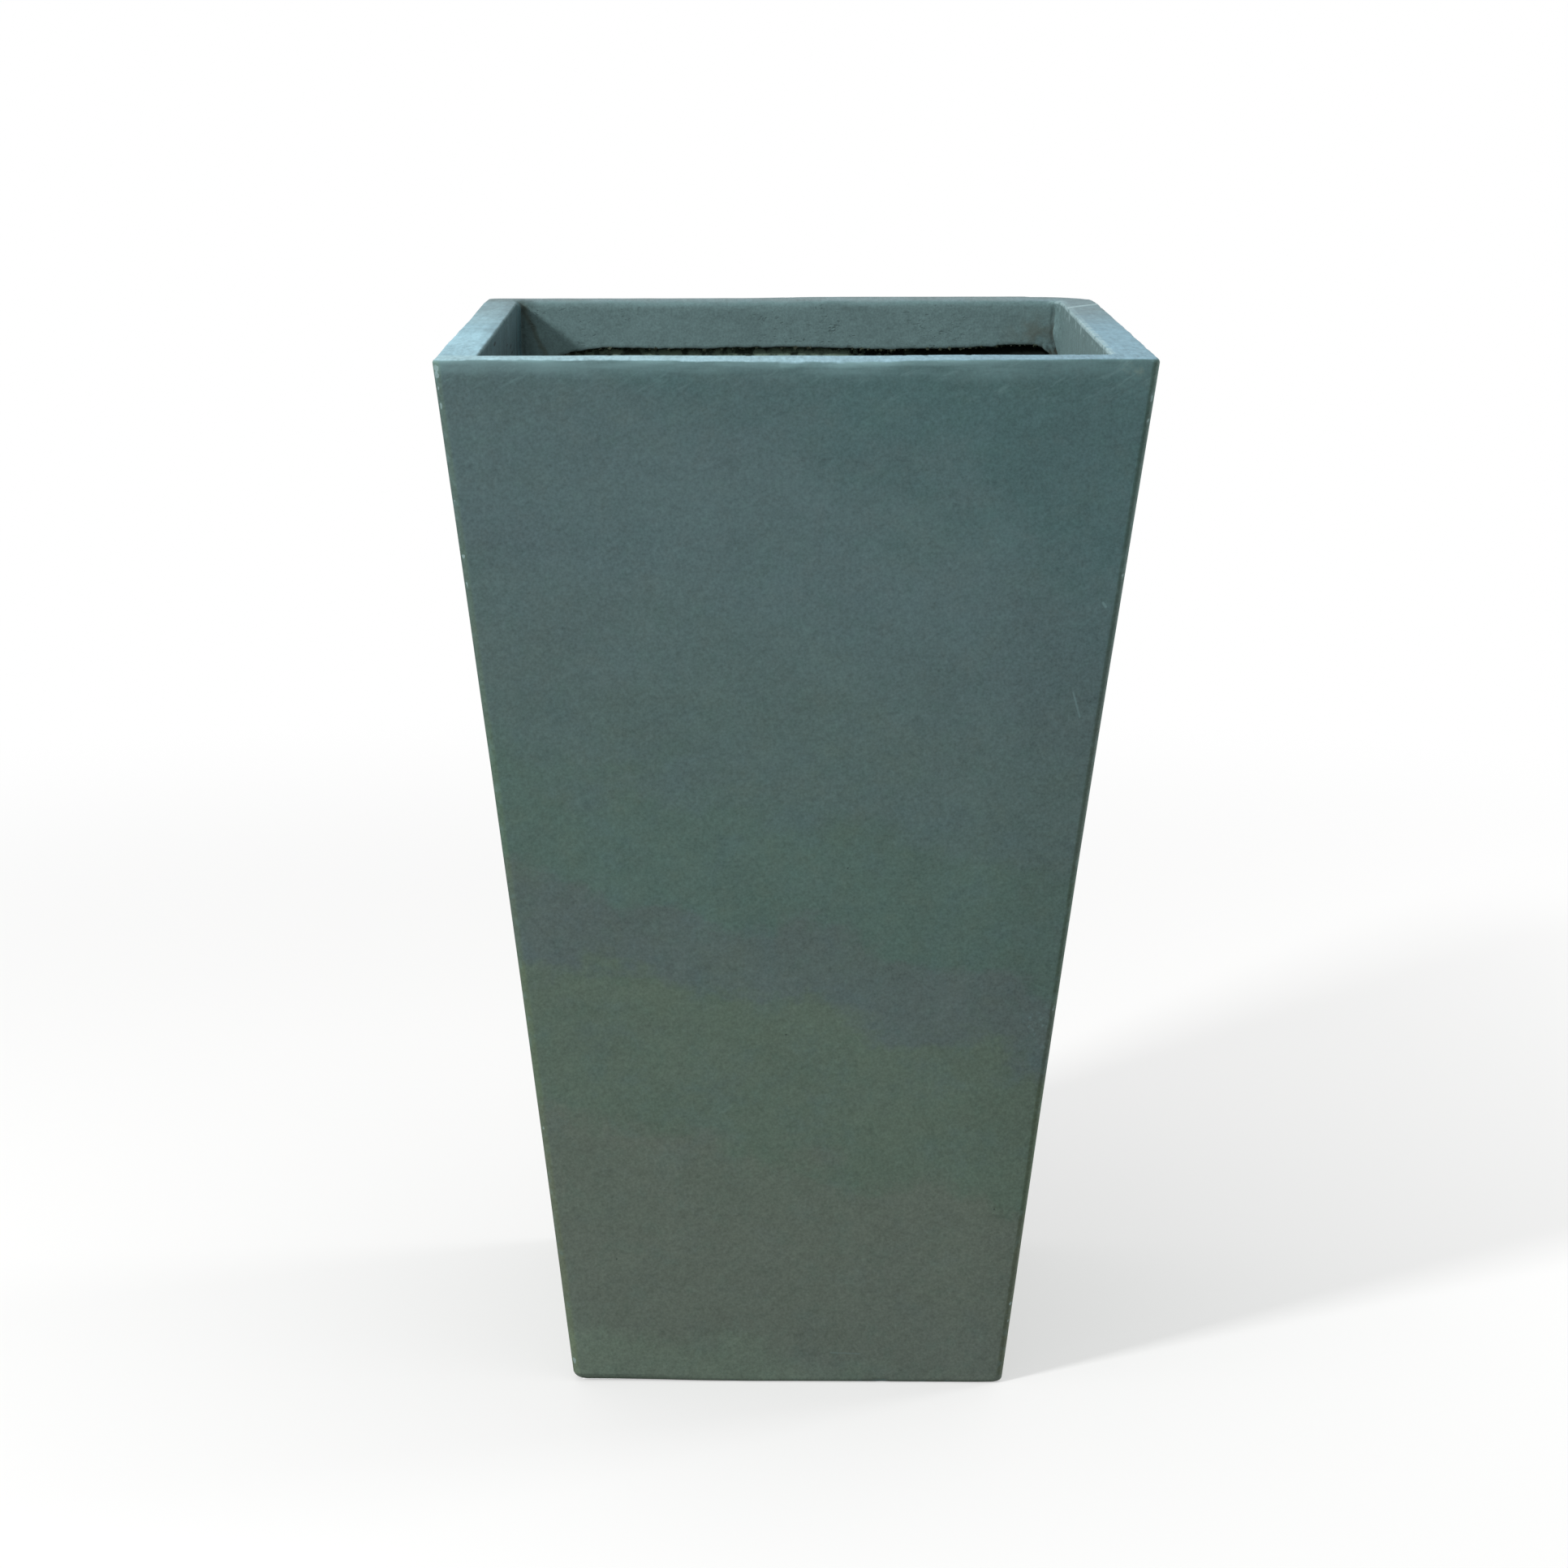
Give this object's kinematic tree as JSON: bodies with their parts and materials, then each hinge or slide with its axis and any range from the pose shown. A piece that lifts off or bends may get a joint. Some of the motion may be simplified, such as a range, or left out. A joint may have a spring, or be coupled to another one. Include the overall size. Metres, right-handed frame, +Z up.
{
  "type": "floor planter",
  "caption": "Tall square tapered concrete planter with a thick flat rim, an inner lip, a recessed foot and a drain hole with a lift-out rubber plug.",
  "frame": {"origin": "middle of the foot, on the ground", "axes": "+Z up, the front face looks along -Y, +X to the right as seen from the front"},
  "size_m": [0.3896, 0.3896, 0.61],
  "materials": {
    "face_concrete": "matte",
    "rim_concrete": "matte",
    "backing_concrete": "matte",
    "floor_concrete": "matte",
    "glass_mat": "matte",
    "plug_rubber": "matte"
  },
  "bodies": {
    "planter": {"face_coat": "face_concrete", "backing_shell": "backing_concrete", "rim_lip": "rim_concrete", "base_slab": "floor_concrete", "floor_screed": "floor_concrete", "front_mat": "glass_mat", "right_mat": "glass_mat", "back_mat": "glass_mat", "left_mat": "glass_mat", "base_mat": "glass_mat", "front_right_corner_strip": "glass_mat", "back_right_corner_strip": "glass_mat", "back_left_corner_strip": "glass_mat", "front_left_corner_strip": "glass_mat"},
    "plug": {"drain_plug": "plug_rubber"}
  },
  "joints": [
    {"name": "drain_plug_lift", "type": "slide", "parent": "planter", "child": "plug", "axis": [0, 0, 1], "range_m": [0, 0.63]}
  ]
}
